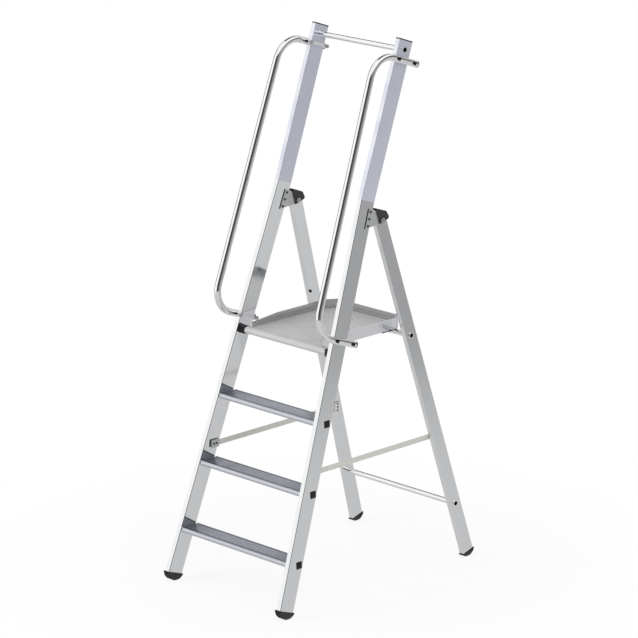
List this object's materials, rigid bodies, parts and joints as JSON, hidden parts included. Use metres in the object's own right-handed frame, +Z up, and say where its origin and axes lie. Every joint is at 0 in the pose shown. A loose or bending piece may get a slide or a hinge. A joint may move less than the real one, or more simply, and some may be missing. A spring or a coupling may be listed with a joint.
{
  "type": "folding platform step",
  "caption": "Folding aluminium platform step with ribbed treads, a guard bar, bent handrails, a tip-up platform with a kick rim and hinged rear legs held by straps.",
  "frame": {"origin": "middle of the footprint's bounding box, on the floor", "axes": "+X along the treads to the user's right, +Y from the treads to the rear legs, +Z up"},
  "size_m": [0.6076, 1.0146, 1.9891],
  "materials": {
    "aluminium": "brushed mill finish",
    "tread_aluminium": "ribbed extrusion",
    "deck_aluminium": "raised pattern",
    "bright_tube": "polished tube",
    "zinc_steel": "zinc plated",
    "dark_rivet": "dull",
    "black_steel": "blackened",
    "black_plastic": "moulded",
    "rubber_foot": "matte",
    "webbing": "woven"
  },
  "bodies": {
    "front_frame": {"left_stile": "aluminium", "right_stile": "aluminium", "left_top_cap": "black_plastic", "right_top_cap": "black_plastic", "left_front_foot": "rubber_foot", "right_front_foot": "rubber_foot", "tread_1": "tread_aluminium", "tread_2": "tread_aluminium", "tread_3": "tread_aluminium", "tread_end_plugs": "black_plastic", "guard_bar": "bright_tube", "left_handrail": "bright_tube", "right_handrail": "bright_tube", "handrail_end_plugs": "black_plastic", "clamp_bars": "zinc_steel", "clamp_bolts": "black_steel", "clamp_nuts": "zinc_steel", "left_outer_hinge_plate": "zinc_steel", "left_inner_hinge_plate": "zinc_steel", "right_outer_hinge_plate": "zinc_steel", "right_inner_hinge_plate": "zinc_steel", "hinge_plate_rivets": "dark_rivet", "hinge_pins": "bright_tube", "left_pivot_block": "black_plastic", "right_pivot_block": "black_plastic", "platform_pivot_pins": "zinc_steel", "left_strap_anchor": "zinc_steel", "right_strap_anchor": "zinc_steel", "strap_anchor_rivets": "dark_rivet", "left_strap": "webbing", "right_strap": "webbing"},
    "rear_frame": {"left_leg": "aluminium", "right_leg": "aluminium", "left_leg_cap": "black_plastic", "right_leg_cap": "black_plastic", "left_rear_foot": "rubber_foot", "right_rear_foot": "rubber_foot", "platform_rest_rod": "bright_tube", "tie_rod": "bright_tube", "leg_rod_rings": "bright_tube", "left_leg_strap_plate": "zinc_steel", "right_leg_strap_plate": "zinc_steel", "leg_strap_rivets": "dark_rivet", "leg_buffers": "rubber_foot"},
    "platform": {"platform_deck": "deck_aluminium", "platform_rim": "aluminium", "platform_nose_bushes": "black_plastic", "rim_rivets": "dark_rivet", "platform_rest_pads": "rubber_foot"}
  },
  "joints": [
    {"name": "rear_frame_fold", "type": "hinge", "parent": "front_frame", "child": "rear_frame", "pos_m": [0, 0.08087, 1.346], "axis": [-1, 0, 0], "range_deg": [0, 35.9], "deforming": ["left_strap", "right_strap"]},
    {"name": "platform_fold", "type": "hinge", "parent": "front_frame", "child": "platform", "pos_m": [0, -0.17299, 0.904], "axis": [1, 0, 0], "range_deg": [0, 70.7]}
  ]
}
